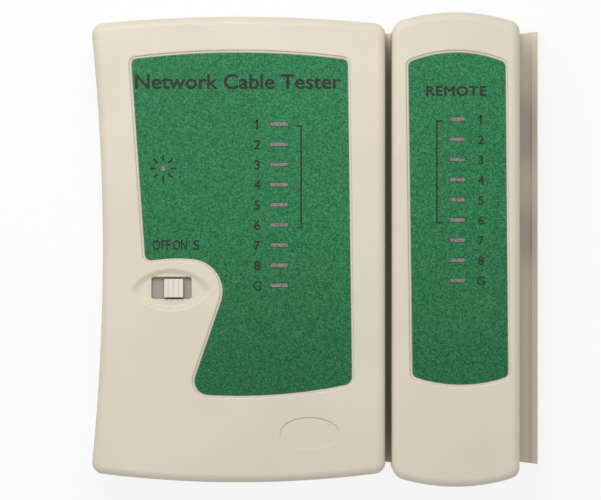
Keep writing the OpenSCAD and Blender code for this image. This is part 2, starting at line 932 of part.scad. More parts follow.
module battery() {
    color([0.2, 0.22, 0.25])
        box([battery_x0, battery_cy - battery_w / 2, battery_z0],
            [battery_x1, battery_cy + battery_w / 2, battery_z0 + battery_t]);
    color(metal_colour)
        for (s = [-1, 1])
            translate([battery_x1 - eps, battery_cy + s * 6.35, battery_cz])
                rotate([0, 90, 0])
                    cylinder(h = 1.6, r = s > 0 ? 2.8 : 3.6);
}

module battery_snap() {
    x0 = battery_x1 + 0.3;
    color(chip_colour)
        difference() {
            box([x0, battery_cy - snap_half, battery_cz - 5.5],
                [x0 + snap_t, battery_cy + snap_half, battery_cz + 5.5]);
            for (s = [-1, 1])
                translate([x0 - 1, battery_cy + s * 6.35, battery_cz])
                    rotate([0, 90, 0])
                        cylinder(h = 2.6, r = s > 0 ? 2.9 : 3.7);
        }
}

// Point of a smooth curve with control points a, b, c, d
function curve(a, b, c, d, t) =
    pow(1 - t, 3) * a + 3 * t * pow(1 - t, 2) * b + 3 * t * t * (1 - t) * c + pow(t, 3) * d;

// Wire of radius r from a to d, eight-sided
module wire(a, b, c, d, r) {
    n = 16;
    path = [for (i = [0:n]) curve(a, b, c, d, i / n)];
    rings = [for (i = [0:n])
        let (
            t = path[min(i + 1, n)] - path[max(i - 1, 0)],
            w = t / norm(t),
            u = cross(w, [1, 0, 0]) / norm(cross(w, [1, 0, 0])),
            v = cross(w, u)
        )
        [for (k = [0:7]) path[i] + r * (cos(45 * k) * u + sin(45 * k) * v)]];
    loft(rings);
}

module battery_leads() {
    x = battery_x1 + 0.3 + snap_t / 2;
    start = battery_cy + snap_half;
    for (s = [-1, 1])
        color(s > 0 ? [0.75, 0.1, 0.1] : [0.1, 0.1, 0.1])
            wire([x - 0.9 * s, start + lead_gap, battery_cz + 3],
                 [x - 0.9 * s, start + 3, battery_cz + 3],
                 [x - 6 - 2 * s, board_y0 + 3, battery_cz + 1.35],
                 [x - 6 - 2 * s, board_y0 + 3, board_rear - lead_gap], 0.65);
}

// Foam between the battery and the front shell
module battery_pad() {
    color([0.2, 0.2, 0.21])
        box([battery_x0 + 6, battery_cy - 8, battery_z0 + battery_t],
            [battery_x1 - 6, battery_cy + 8, front_in]);
}

// ---- Assembly ----

main_front_shell();
main_rear_shell();
main_label();
main_pcb();
main_led(0);  // main_led_1
main_led(1);  // main_led_2
main_led(2);  // main_led_3
main_led(3);  // main_led_4
main_led(4);  // main_led_5
main_led(5);  // main_led_6
main_led(6);  // main_led_7
main_led(7);  // main_led_8
main_led(8);  // main_led_g
power_led();
main_rj45_jack();
main_rj45_contacts();
main_rj11_jack();
main_rj11_contacts();
switch_body();
switch_knob();
battery();
battery_snap();
battery_leads();
battery_pad();
battery_door();
main_screws();
counter_chip();
timer_chip();
main_resistors();
main_capacitors();
remote_front_shell();
remote_rear_shell();
remote_label();
remote_pcb();
remote_led(0);  // remote_led_1
remote_led(1);  // remote_led_2
remote_led(2);  // remote_led_3
remote_led(3);  // remote_led_4
remote_led(4);  // remote_led_5
remote_led(5);  // remote_led_6
remote_led(6);  // remote_led_7
remote_led(7);  // remote_led_8
remote_led(8);  // remote_led_g
remote_rj45_jack();
remote_rj45_contacts();
remote_rj11_jack();
remote_rj11_contacts();
remote_screws();
remote_diodes();
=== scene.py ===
"""Network cable tester, seen from straight above: housings, labels, legends and materials."""
import math
import bmesh
import bpy
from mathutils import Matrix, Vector


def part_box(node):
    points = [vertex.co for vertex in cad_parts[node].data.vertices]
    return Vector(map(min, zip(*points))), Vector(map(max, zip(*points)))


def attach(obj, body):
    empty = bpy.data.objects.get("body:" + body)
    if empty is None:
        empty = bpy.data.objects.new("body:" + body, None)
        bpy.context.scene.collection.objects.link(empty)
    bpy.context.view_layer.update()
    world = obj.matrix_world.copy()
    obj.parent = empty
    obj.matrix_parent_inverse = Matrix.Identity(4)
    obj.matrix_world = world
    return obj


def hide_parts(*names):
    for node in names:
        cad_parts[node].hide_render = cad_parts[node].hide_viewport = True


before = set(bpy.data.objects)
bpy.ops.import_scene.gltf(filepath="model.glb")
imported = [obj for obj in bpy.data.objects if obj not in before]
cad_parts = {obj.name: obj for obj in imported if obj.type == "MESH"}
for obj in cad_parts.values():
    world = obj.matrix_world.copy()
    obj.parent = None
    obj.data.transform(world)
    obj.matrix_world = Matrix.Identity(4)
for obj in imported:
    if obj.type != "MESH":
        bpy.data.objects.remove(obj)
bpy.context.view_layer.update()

MM = 0.001
LAMPS = ["1", "2", "3", "4", "5", "6", "7", "8", "g"]

# ---- Sizes, worked out from the frame ----

main_lo, main_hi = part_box("main_front_shell")
remote_lo, remote_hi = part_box("remote_front_shell")
rear_lo, rear_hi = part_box("main_rear_shell")
main_rail_x, remote_rail_x = rear_hi.x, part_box("remote_rear_shell")[1].x
door_lo, door_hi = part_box("battery_door")
label_lo, label_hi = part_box("main_label")
label_top = label_hi.z
top_z = main_hi.z


def middle(node):
    """Middle of a node's box, seen from above."""
    lo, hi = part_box(node)
    return (lo.x + hi.x) / 2, (lo.y + hi.y) / 2


switch_x, switch_y = middle("switch_body")

# Housings: the shells meet at part_z; the CAD front shell's hidden lip reaches below it
lip_depth = 1.2 * MM
part_z = main_lo.z + lip_depth
wall = 2 * MM
seam_bevel = 0.12 * MM
front_round = 1.8 * MM
rear_round = 0.8 * MM
chamfer = 0.15 * MM

# Label recess: floor, ledge round the label and rounded rim
recess_depth = 0.6 * MM
ledge_w, ledge_drop = 0.32 * MM, 0.45 * MM
rim_w, rim_h = 0.8 * MM, 0.25 * MM
label_gap = 0.15 * MM

# Switch hollow and its window; blank oval pad, from the main unit's middle and lower end
dish_x, dish_y = switch_x - 0.1 * MM, switch_y - 0.4 * MM
dish_w, dish_h, dish_depth, dish_band = 18 * MM, 9.8 * MM, 0.8 * MM, 1.5 * MM
window_w, window_h, window_r, window_rim = 8.9 * MM, 4.9 * MM, 0.6 * MM, 0.25 * MM
pad_x, pad_y, pad_half_w, pad_half_h = 15.85 * MM, 11 * MM, 6.6 * MM, 3.5 * MM
pad_depth, pad_rim = 0.3 * MM, 0.2 * MM

# Rail: web and bead; rail_mid is its middle's Y, and it grows longer towards its free edge
rail_half, rail_mid, rail_flare, rail_z = 48.2 * MM, 0.4 * MM, 0.5 * MM, 2.6 * MM
web_half_h, bead_half_h, bead_w = 0.6 * MM, 1.2 * MM, 1.35 * MM
rail_clear = 0.2 * MM

# Screws: column, sink for the head, bore for the thread
column_r, head_r, sink_r, sink_z, bore_r = 2.8 * MM, 2.4 * MM, 2.7 * MM, 3.05 * MM, 1.5 * MM

# Lamps: case beyond the window on either side, window's half height, leads
lamp_margin, slot_half_h, bar_half_h = 0.4 * MM, 0.5 * MM, 0.44 * MM
slot_clear, slot_r = 0.06 * MM, 0.2 * MM
tip_edge, tip_top = label_top - 0.06 * MM, label_top - 0.02 * MM
lead_x, lead_half = 1.27 * MM, 0.25 * MM
power_hole_r, power_window_r, power_tip_r = 0.75 * MM, 0.65 * MM, 0.6 * MM

# Sockets: clearance in the wall; the cut runs from inside a socket to past its face
port_clear, port_inside, port_past = 0.2 * MM, 12 * MM, 3 * MM

# Printed ink: its lower and upper face, from the label's top
ink_low, ink_high = -0.004 * MM, 0.012 * MM


# ---- Outlines, as lists of (x, y) counter-clockwise ----

def on_circle(c, r, a):
    return (c[0] + r * math.cos(a), c[1] + r * math.sin(a))


def arc(c, r, a0, a1, n):
    """Points of an arc without its last one."""
    return [on_circle(c, r, a0 + (a1 - a0) * i / n) for i in range(n)]


def sag_radius(half, rise):
    return (half * half + rise * rise) / (2 * rise)


def heading(a, b):
    return math.atan2(b[1] - a[1], b[0] - a[0]) % math.tau


def meet(a, ra, b, rb):
    """Meeting point of two circles, left of the line from a to b."""
    d = math.dist(a, b)
    ux, uy = (b[0] - a[0]) / d, (b[1] - a[1]) / d
    p = (d * d + ra * ra - rb * rb) / (2 * d)
    h = math.sqrt(ra * ra - p * p)
    return (a[0] + p * ux - h * uy, a[1] + p * uy + h * ux)


class Unit:
    """Outline of a housing: ends crowned by top and bottom, left side hollow by waist."""

    def __init__(self, x0, x1, length, top, bottom, waist, left_r, right_r, steps):
        self.x0, self.x1, self.length = x0, x1, length
        self.top, self.bottom, self.waist = top, bottom, waist
        self.left_r, self.right_r, self.steps = left_r, right_r, steps

    def outline(self, d=0.0):
        """The outline moved inwards by d."""
        half = (self.x1 - self.x0) / 2
        cx = (self.x0 + self.x1) / 2
        rt, rb = sag_radius(half, self.top), sag_radius(half, self.bottom)
        rw = sag_radius(self.length / 2 - self.top - self.left_r, self.waist)
        ct, cb = (cx, self.length / 2 - rt), (cx, rb - self.length / 2)
        cw = (self.x0 + self.waist - rw, 0)
        rl, rr = self.left_r, self.right_r
        xr = self.x1 - rr
        k_tr = (xr, ct[1] + math.sqrt((rt - rr) ** 2 - (xr - cx) ** 2))
        k_br = (xr, cb[1] - math.sqrt((rb - rr) ** 2 - (xr - cx) ** 2))
        k_tl = meet(cw, rw + rl, ct, rt - rl)
        k_bl = meet(cb, rb - rl, cw, rw + rl)
        dl, dr = max(rl - d, 0.05 * MM), max(rr - d, 0.05 * MM)
        turn = math.tau
        return (
            arc(k_br, dr, heading(cb, k_br), turn, 10)
            + arc(k_tr, dr, 0, heading(ct, k_tr), 10)
            + arc(ct, rt - d, heading(ct, k_tr), heading(ct, k_tl), 32)
            + arc(k_tl, dl, heading(ct, k_tl), heading(k_tl, cw), 10)
            + arc(cw, rw + d, heading(cw, k_tl), heading(cw, k_bl) - turn, self.steps)
            + arc(k_bl, dl, heading(k_bl, cw), heading(cb, k_bl), 10)
            + arc(cb, rb - d, heading(cb, k_bl), heading(cb, k_br), 32)
        )


MAIN = Unit(rear_lo.x, main_hi.x, main_hi.y - main_lo.y, top=1.7 * MM, bottom=2.2 * MM, waist=2.4 * MM,
            left_r=2.6 * MM, right_r=2.6 * MM, steps=40)
REMOTE = Unit(remote_lo.x, remote_hi.x, remote_hi.y - remote_lo.y, top=2.5 * MM, bottom=2.5 * MM,
              waist=0.02 * MM, left_r=3.6 * MM, right_r=2.5 * MM, steps=2)
main_cx = (MAIN.x0 + MAIN.x1) / 2
remote_cx = (REMOTE.x0 + REMOTE.x1) / 2


def fillet(a, p, b, r, n):
    """Corner p between a and b rounded to radius r."""
    u = Vector((a[0] - p[0], a[1] - p[1])).normalized()
    v = Vector((b[0] - p[0], b[1] - p[1])).normalized()
    half = math.acos(max(-1, min(1, u.dot(v)))) / 2
    mid = (u + v).normalized() * r / math.sin(half)
    c = (p[0] + mid.x, p[1] + mid.y)
    reach = r / math.tan(half)
    a0 = heading(c, (p[0] + u.x * reach, p[1] + u.y * reach))
    turn = heading(c, (p[0] + v.x * reach, p[1] + v.y * reach)) - a0
    turn = (turn + math.pi) % math.tau - math.pi
    return [on_circle(c, r, a0 + turn * i / n) for i in range(n + 1)]


def rounded(corners):
    """Polygon through corners (x, y, radius); a radius of 0 keeps its corner."""
    points = []
    n = len(corners)
    for i, q in enumerate(corners):
        if q[2] == 0:
            points.append((q[0], q[1]))
        else:
            points += fillet(corners[i - 1], q, corners[(i + 1) % n], q[2], 10)
    return points


def crown_y(x, cx, apex, r):
    """Height of a crowned edge at x; r is negative for a lower edge."""
    return apex - math.copysign(abs(r) - math.sqrt(r * r - (x - cx) ** 2), r)


def crown(x0, x1, cx, apex, r, n):
    xs = [x0 + (x1 - x0) * i / n for i in range(1, n)]
    return [(x, crown_y(x, cx, apex, r), 0) for x in xs]


def grow(points, d):
    """A closed outline moved outwards by d, point by point."""
    out = []
    n = len(points)
    for i in range(n):
        a, p, b = Vector(points[i - 1]), Vector(points[i]), Vector(points[(i + 1) % n])
        e0, e1 = (p - a).normalized(), (b - p).normalized()
        n0, n1 = Vector((e0.y, -e0.x)), Vector((e1.y, -e1.x))
        m = (n0 + n1).normalized()
        q = p + m * d / max(m.dot(n0), 0.3)
        out.append((q.x, q.y))
    return out


def main_label_outline():
    """Edge of the main label's recess, with the arched notch over the switch."""
    x0, x1 = MAIN.x0 + 8.6 * MM, MAIN.x1 - 8.3 * MM
    top, top_r, corner = main_hi.y - 7.9 * MM, 190 * MM, 1.3 * MM
    bottom, bottom_r = top - 76.8 * MM, 118 * MM
    heel, heel_r = x1 + 0.95 * MM, 2 * MM
    foot, foot_r = switch_x + 3.85 * MM, 3.2 * MM
    roof, arch = -2 * MM, 0.6 * MM
    start, start_r = x0 + 3.2 * MM, 1.5 * MM
    crest, crest_r = switch_x + 0.8 * MM, 34 * MM
    shoulder, shoulder_r = switch_x + 13.95 * MM, 7.2 * MM
    return rounded(
        [(heel, crown_y(heel, main_cx, bottom, -bottom_r), heel_r),
         (x1, crown_y(x1, main_cx, top, top_r), corner)]
        + crown(x1, x0, main_cx, top, top_r, 14)
        + [(x0, crown_y(x0, main_cx, top, top_r), corner),
           (start, roof - arch, start_r),
           (crest, roof + arch / 4, crest_r),
           (shoulder, roof - 1.4 * arch, shoulder_r),
           (foot, crown_y(foot, main_cx, bottom, -bottom_r), foot_r)]
        + crown(foot, heel, main_cx, bottom, -bottom_r, 7)
    )


def remote_label_outline():
    """Edge of the remote label's recess."""
    x0, x1 = REMOTE.x0 + 3.6 * MM, REMOTE.x1 - 3.1 * MM
    x2, x3 = x1 + 0.6 * MM, x0 + 0.95 * MM
    top, top_r, corner = remote_hi.y - 8.9 * MM, 28 * MM, 1.4 * MM
    bottom, bottom_r = top - 74.3 * MM, 32 * MM
    top_cx, bottom_cx = (x0 + x1) / 2, (x2 + x3) / 2
    return rounded(
        [(x2, crown_y(x2, bottom_cx, bottom, -bottom_r), corner),
         (x1, crown_y(x1, top_cx, top, top_r), corner)]
        + crown(x1, x0, top_cx, top, top_r, 10)
        + [(x0, crown_y(x0, top_cx, top, top_r), corner),
           (x3, crown_y(x3, bottom_cx, bottom, -bottom_r), corner)]
        + crown(x3, x2, bottom_cx, bottom, -bottom_r, 8)
    )


# ---- Meshes ----

def new_object(name, bm):
    mesh = bpy.data.meshes.new(name)
    bm.to_mesh(mesh)
    bm.free()
    obj = bpy.data.objects.new(name, mesh)
    bpy.context.scene.collection.objects.link(obj)
    return obj


def add_loft(bm, rings):
    """Adds a closed solid through rings [(outline, z), ...], from the lowest one up."""
    layers = [[bm.verts.new((x, y, z)) for x, y in outline] for outline, z in rings]
    for low, high in zip(layers, layers[1:]):
        n = len(low)
        for i in range(n):
            j = (i + 1) % n
            bm.faces.new((low[i], low[j], high[j], high[i]))
    bm.faces.new(list(reversed(layers[0])))
    bm.faces.new(layers[-1])


def rectangle(x0, y0, x1, y1):
    return [(x0, y0), (x1, y0), (x1, y1), (x0, y1)]


def add_box(bm, a, b):
    outline = rectangle(a[0], a[1], b[0], b[1])
    add_loft(bm, [(outline, a[2]), (outline, b[2])])


def disc(x, y, r, n=48):
    return [on_circle((x, y), r, math.tau * i / n) for i in range(n)]


def oval(x, y, a, b, n=96):
    return [(x + a * math.cos(math.tau * i / n), y + b * math.sin(math.tau * i / n))
            for i in range(n)]


def round_box(x0, y0, x1, y1, r):
    return rounded([(x1, y0, r), (x1, y1, r), (x0, y1, r), (x0, y0, r)])


def boolean(target, tool_mesh, operation):
    """Joins a mesh to target or cuts it out, and bakes the result in."""
    tool = new_object("tool", tool_mesh)
    mod = target.modifiers.new("boolean", "BOOLEAN")
    mod.operation, mod.object, mod.solver = operation, tool, "MANIFOLD"
    graph = bpy.context.evaluated_depsgraph_get()
    baked = bpy.data.meshes.new_from_object(target.evaluated_get(graph))
    target.modifiers.clear()
    target.data = baked
    bpy.data.objects.remove(tool)


def smooth(obj):
    """Smooth shading with edges kept sharp above 28 degrees, and flat faces kept flat."""
    bm = bmesh.new()
    bm.from_mesh(obj.data)
    bmesh.ops.remove_doubles(bm, verts=bm.verts, dist=0.001 * MM)
    bmesh.ops.dissolve_degenerate(bm, edges=bm.edges, dist=0.0005 * MM)
    limit = math.radians(28)
    for face in bm.faces:
        face.smooth = True
    for edge in bm.edges:
        edge.smooth = len(edge.link_faces) == 2 and edge.calc_face_angle(0) < limit
    bm.to_mesh(obj.data)
    bm.free()
    mod = obj.modifiers.new("flat faces", "WEIGHTED_NORMAL")
    mod.keep_sharp = True
    mod.weight = 80


def soften(obj, width):
    """Small rounded edges on a piece carried over from the CAD model."""
    bevel = obj.modifiers.new("edges", "BEVEL")
    bevel.width, bevel.segments = width, 2
    bevel.limit_method, bevel.angle_limit = "ANGLE", math.radians(40)
    bevel.use_clamp_overlap = True
    normals = obj.modifiers.new("flat faces", "WEIGHTED_NORMAL")
    normals.keep_sharp = True


# ---- Recess profiles ----

def add_recess(bm, outline, depth, width, height, ledge=0.0):
    """Cutter for a hollow in the front face; its rim is rounded up to width outside the outline.

    With a ledge, a flat step of that width lies between the outline and the rim.
    """
    rings = [(outline, top_z - depth)]
    if ledge:
        rings += [(outline, top_z - ledge_drop), (grow(outline, ledge), top_z - ledge_drop)]
    start = ledge * 1.25
    for i in range(9):
        a = math.pi / 2 * i / 8
        rings.append((grow(outline, start + (width - start) * (1 - math.cos(a))),
                      top_z - height * (1 - math.sin(a))))
    rings.append((grow(outline, width), top_z + MM))
    add_loft(bm, rings)


def lens_outline(cx, cy, w, h, n=96):
    """Oval with narrow tips, w wide and h high."""
    sharp = 1.25
    points = []
    for i in range(n):
        a = math.tau * i / n
        y = math.copysign(abs(math.sin(a)) ** sharp, math.sin(a))
        points.append((cx + w / 2 * math.cos(a), cy + h / 2 * y))
    return points


def add_dish(bm, cx, cy, w, h, depth, band):
    """Cutter for a lens-shaped hollow whose wall falls softly over a band, wider at the tips."""
    rings = []
    steps = 14
    for i in range(steps + 1):
        t = i / steps
        inset = band * (1 - t)
        fall = 1 - t * t * (3 - 2 * t)
        rings.append((lens_outline(cx, cy, w - 3 * inset, h - 2 * inset), top_z - depth * fall))
    rings.append((lens_outline(cx, cy, w, h), top_z + MM))
    add_loft(bm, rings)


# ---- Housings ----

def front_rings(unit):
    rings = [(unit.outline(seam_bevel), part_z), (unit.outline(0), part_z + seam_bevel)]
    for i in range(9):
        a = math.pi / 2 * i / 8
        rings.append((unit.outline(front_round * (1 - math.cos(a))),
                      top_z - front_round * (1 - math.sin(a))))
    return rings


def rear_rings(unit):
    rings = []
    for i in range(7):
        a = math.pi / 2 * i / 6
        rings.append((unit.outline(rear_round * (1 - math.sin(a))),
                      rear_round * (1 - math.cos(a))))
    return rings + [(unit.outline(0), part_z - seam_bevel), (unit.outline(seam_bevel), part_z)]


def lamp_half(node):
    """Half the width of a lamp's window."""
    lo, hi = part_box(node)
    return (hi.x - lo.x) / 2 - lamp_margin


def add_lamp_slots(bm, unit_name):
    for lamp in LAMPS:
        node = unit_name + "_led_" + lamp
        cx, cy = middle(node)
        half = lamp_half(node) + slot_clear
        slot = round_box(cx - half, cy - slot_half_h, cx + half, cy + slot_half_h, slot_r)
        add_loft(bm, [(slot, top_z - 5 * MM), (slot, top_z + MM)])


def cut_ports(shell, unit_name):
    """Clearances for the two socket bodies in a side wall."""
    for port in ("_rj45_jack", "_rj11_jack"):
        lo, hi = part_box(unit_name + port)
        bm = bmesh.new()
        add_box(bm, (lo.x + port_inside, lo.y - port_clear, lo.z - port_clear),
                (hi.x + port_past, hi.y + port_clear, hi.z + port_clear))
        boolean(shell, bm, "DIFFERENCE")


def front_shell(name, unit, label, unit_name, extra=None):
    bm = bmesh.new()
    add_loft(bm, front_rings(unit))
    shell = new_object(name, bm)
    bm = bmesh.new()
    inner = unit.outline(wall)
    add_loft(bm, [(inner, part_z - MM), (inner, top_z - wall)])
    boolean(shell, bm, "DIFFERENCE")
    bm = bmesh.new()
    add_recess(bm, label, recess_depth, rim_w, rim_h, ledge_w)
    boolean(shell, bm, "DIFFERENCE")
    bm = bmesh.new()
    add_lamp_slots(bm, unit_name)
    boolean(shell, bm, "DIFFERENCE")
    cut_ports(shell, unit_name)
    if extra:
        extra(shell)
    smooth(shell)
    return shell


def main_extras(shell):
    """Switch hollow and window, power lamp hole and blank oval pad."""
    bm = bmesh.new()
    add_dish(bm, dish_x, dish_y, dish_w, dish_h, dish_depth, dish_band)
    add_recess(bm, oval(main_cx + pad_x, main_lo.y + pad_y, pad_half_w, pad_half_h),
               pad_depth, pad_rim, pad_rim)
    boolean(shell, bm, "DIFFERENCE")
    bm = bmesh.new()
    w, h = window_w / 2, window_h / 2
    hole = round_box(switch_x - w, switch_y - h, switch_x + w, switch_y + h, window_r)
    floor_z = top_z - dish_depth
    rings = [(hole, top_z - 5 * MM), (hole, floor_z - window_rim)]
    for i in range(1, 5):
        a = math.pi / 2 * i / 4
        rings.append((grow(hole, window_rim * (1 - math.cos(a))),
                      floor_z - window_rim * (1 - math.sin(a))))
    rings.append((grow(hole, window_rim), top_z + MM))
    add_loft(bm, rings)
    dot = disc(*middle("power_led"), power_hole_r, 32)
    add_loft(bm, [(dot, top_z - 5 * MM), (dot, top_z + MM)])
    boolean(shell, bm, "DIFFERENCE")


def add_rail(shell, unit, x1):
    """Web and bead of the rail at the right of a unit, with softened long edges."""
    root, bead_x, joined = unit.x1 - MM, x1 - bead_w, 0.3 * MM

    def reach(x):
        return rail_half + rail_flare * (x - unit.x1) / (x1 - unit.x1)

    for x0, xe, h in ((root, bead_x + joined, web_half_h), (bead_x, x1, bead_half_h)):
        def ring(d):
            y0, ye = reach(x0) - d, reach(xe) - d
            return [(x0, rail_mid - y0), (xe - d, rail_mid - ye),
                    (xe - d, rail_mid + ye), (x0, rail_mid + y0)]
        bm = bmesh.new()
        add_loft(bm, [(ring(chamfer), rail_z - h), (ring(0), rail_z - h + chamfer),
                      (ring(0), rail_z + h - chamfer), (ring(chamfer), rail_z + h)])
        boolean(shell, bm, "UNION")


def rear_shell(name, unit, unit_name, column_top, rail_x):
    bm = bmesh.new()
    add_loft(bm, rear_rings(unit))
    shell = new_object(name, bm)
    bm = bmesh.new()
    inner = unit.outline(wall)
    add_loft(bm, [(inner, wall), (inner, part_z + MM)])
    boolean(shell, bm, "DIFFERENCE")
    columns = screw_places(unit_name + "_screws")
    for x, y in columns:
        bm = bmesh.new()
        add_loft(bm, [(disc(x, y, column_r), MM), (disc(x, y, column_r), column_top)])
        boolean(shell, bm, "UNION")
    bm = bmesh.new()
    rim = 0.2 * MM
    for x, y in columns:
        add_loft(bm, [(disc(x, y, sink_r + rim), -MM), (disc(x, y, sink_r + rim), 0),
                      (disc(x, y, sink_r), rim), (disc(x, y, sink_r), sink_z),
                      (disc(x, y, bore_r), sink_z), (disc(x, y, bore_r), column_top + MM)])
    boolean(shell, bm, "DIFFERENCE")
    add_rail(shell, unit, rail_x)
    cut_ports(shell, unit_name)
    return shell


def screw_places(node):
    """Places of a unit's screws, read from the corners of their node's box."""
    lo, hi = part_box(node)
    xs, ys = (lo.x + head_r, hi.x - head_r), (lo.y + head_r, hi.y - head_r)
    if hi.x - lo.x < 3 * head_r:
        xs = [(lo.x + hi.x) / 2]
    return [(x, y) for x in xs for y in ys]


# ---- Materials ----

BLACK, WHITE = (0, 0, 0), (1, 1, 1)


def grey(level):
    return (level, level, level)


class Nodes:
    """Short way to build a material's node tree."""

    def __init__(self, name, colour, roughness):
        self.mat = bpy.data.materials.new(name)
        self.mat.use_nodes = True
        self.tree = self.mat.node_tree
        self.shader = self.tree.nodes["Principled BSDF"]
        self.shader.inputs["Base Color"].default_value = (*colour, 1)
        self.shader.inputs["Roughness"].default_value = roughness
        self.coords = self.add("ShaderNodeTexCoord").outputs["Object"]

    def add(self, kind, **settings):
        node = self.tree.nodes.new(kind)
        for key, value in settings.items():
            if key in node.inputs:
                node.inputs[key].default_value = value
            else:
                setattr(node, key, value)
        return node

    def link(self, a, b):
        self.tree.links.new(a, b)

    def noise(self, scale, detail=3.0, rough=0.5):
        """Noise over the piece; scale counts its features in a metre."""
        node = self.add("ShaderNodeTexNoise", Scale=scale, Detail=detail, Roughness=rough)
        self.link(self.coords, node.inputs["Vector"])
        return node.outputs["Fac"]

    def ramp(self, value, stops):
        node = self.add("ShaderNodeValToRGB")
        bar = node.color_ramp
        while len(bar.elements) < len(stops):
            bar.elements.new(0.5)
        for element, (place, colour) in zip(bar.elements, stops):
            element.position = place
            element.color = (*colour, 1)
        self.link(value, node.inputs["Fac"])
        return node.outputs["Color"]

    def mix(self, factor, a, b, blend="MIX"):
        node = self.add("ShaderNodeMix", data_type="RGBA", blend_type=blend)
        for socket, value in ((node.inputs["Factor"], factor), (node.inputs[6], a), (node.inputs[7], b)):
            if isinstance(value, bpy.types.NodeSocket):
                self.link(value, socket)
            elif isinstance(value, tuple):
                socket.default_value = (*value, 1)
            else:
                socket.default_value = value
        return node.outputs[2]

    def spread(self, value, low, high):
        node = self.add("ShaderNodeMapRange")
        node.inputs["To Min"].default_value = low
        node.inputs["To Max"].default_value = high
        self.link(value, node.inputs["Value"])
        return node.outputs["Result"]

    def colour(self, socket):
        self.link(socket, self.shader.inputs["Base Color"])

    def rough(self, value, low, high):
        self.link(self.spread(value, low, high), self.shader.inputs["Roughness"])

    def bump(self, height, distance, strength):
        node = self.add("ShaderNodeBump", Strength=strength, Distance=distance)
        self.link(height, node.inputs["Height"])
        before = self.shader.inputs["Normal"].links
        if before:
            self.link(before[0].from_socket, node.inputs["Normal"])
        self.link(node.outputs["Normal"], self.shader.inputs["Normal"])

    def worn_edges(self, base, worn, amount):
        """Mixes towards a worn colour where the surface is convex."""
        edge = self.add("ShaderNodeNewGeometry").outputs["Pointiness"]
        mask = self.ramp(edge, [(0.52, BLACK), (0.62, grey(amount))])
        return self.mix(mask, base, worn)


def shade(colour, factor):
    return tuple(min(c * factor, 1) for c in colour)


def moulded_plastic(name, colour, roughness, grain=0.012, spots=0.05):
    """Moulded plastic: faint cloudiness, fine texture, slightly rubbed edges."""
    n = Nodes(name, colour, roughness)
    cloud = n.noise(38, detail=4, rough=0.6)
    base = n.ramp(cloud, [(0.3, shade(colour, 1 - spots)), (0.7, shade(colour, 1 + spots * 0.6))])
    dust = n.ramp(n.noise(900, detail=2), [(0.62, BLACK), (0.8, grey(0.10))])
    base = n.mix(dust, base, shade(colour, 0.82))
    n.colour(n.worn_edges(base, shade(colour, 1.08), 0.5))
    n.rough(n.noise(160, detail=3), roughness - 0.06, roughness + 0.08)
    n.bump(n.noise(4200, detail=2), grain * MM, strength=0.5)
    n.bump(n.noise(700, detail=2), grain * 2 * MM, strength=0.3)
    return n.mat


CASE = (0.74, 0.672, 0.54)
KNOB = (0.80, 0.765, 0.67)


def knob_plastic():
    """Cream knob whose plate, deep behind the window, is painted darker grey as shade."""
    n = Nodes("knob", KNOB, 0.42)
    cloud = n.ramp(n.noise(300, detail=3), [(0.3, shade(KNOB, 0.95)), (0.7, KNOB)])
    height = n.add("ShaderNodeSeparateXYZ")
    n.link(n.coords, height.inputs[0])
    level = n.add("ShaderNodeMapRange")
    level.inputs["From Min"].default_value = top_z - wall
    level.inputs["From Max"].default_value = top_z - wall / 2
    n.link(height.outputs["Z"], level.inputs["Value"])
    # painted shade: below the shell's inner face the plate gets a dark grey colour in place of the shadow
    # inside the window
    n.colour(n.mix(level.outputs["Result"], (0.36, 0.345, 0.295), cloud))
    n.rough(n.noise(160, detail=3), 0.36, 0.5)
    n.bump(n.noise(4200, detail=2), 0.006 * MM, strength=0.5)
    return n.mat


def label_film():
    """Green overlay film with a leathery grain, tiny bright specks and painted shade that darkens it
    towards the bottom.
    """
    green, bright = (0.024, 0.200, 0.076), (0.060, 0.305, 0.132)
    n = Nodes("label", green, 0.5)
    n.shader.inputs["Specular IOR Level"].default_value = 0.16
    grain = n.noise(3000, detail=3, rough=0.6)
    base = n.ramp(grain, [(0.35, shade(green, 0.55)), (0.5, green), (0.68, bright)])
    cloud = n.ramp(n.noise(26, detail=2), [(0.3, grey(0.9)), (0.7, WHITE)])
    base = n.mix(1.0, base, cloud, "MULTIPLY")
    place = n.add("ShaderNodeSeparateXYZ")
    n.link(n.coords, place.inputs[0])
    # painted shade: the film's colour darkens towards the bottom, as if the light fell off from the top
    dark_y, full_y = -40 * MM, 10 * MM
    along = n.add("ShaderNodeMapRange")
    along.inputs["From Min"].default_value = dark_y
    along.inputs["From Max"].default_value = full_y
    n.link(place.outputs["Y"], along.inputs["Value"])
    painted_shade_to_bottom = n.ramp(along.outputs["Result"], [(0, (0.64, 0.68, 0.67)), (1, WHITE)])
    base = n.mix(1.0, base, painted_shade_to_bottom, "MULTIPLY")
    speck = n.add("ShaderNodeTexVoronoi", Scale=1500.0)
    n.link(n.coords, speck.inputs["Vector"])
    mask = n.ramp(speck.outputs["Distance"], [(0.05, grey(0.7)), (0.13, BLACK)])
    pick = n.ramp(n.noise(420, detail=1), [(0.6, BLACK), (0.7, WHITE)])
    mask = n.mix(1.0, mask, pick, "MULTIPLY")
    n.colour(n.mix(mask, base, (0.30, 0.62, 0.38)))
    n.rough(grain, 0.36, 0.58)
    n.bump(grain, 0.03 * MM, strength=0.8)
    return n.mat


def printed_ink():
    """Screen-printed ink, uneven where it lies over the film's grain."""
    n = Nodes("ink", (0.026, 0.026, 0.022), 0.6)
    n.shader.inputs["Specular IOR Level"].default_value = 0.2
    grain = n.noise(2600, detail=3, rough=0.65)
    n.colour(n.ramp(grain, [(0.36, (0.016, 0.015, 0.013)), (0.66, (0.045, 0.055, 0.038))]))
    n.rough(grain, 0.45, 0.65)
    n.bump(grain, 0.03 * MM, strength=0.8)
    return n.mat


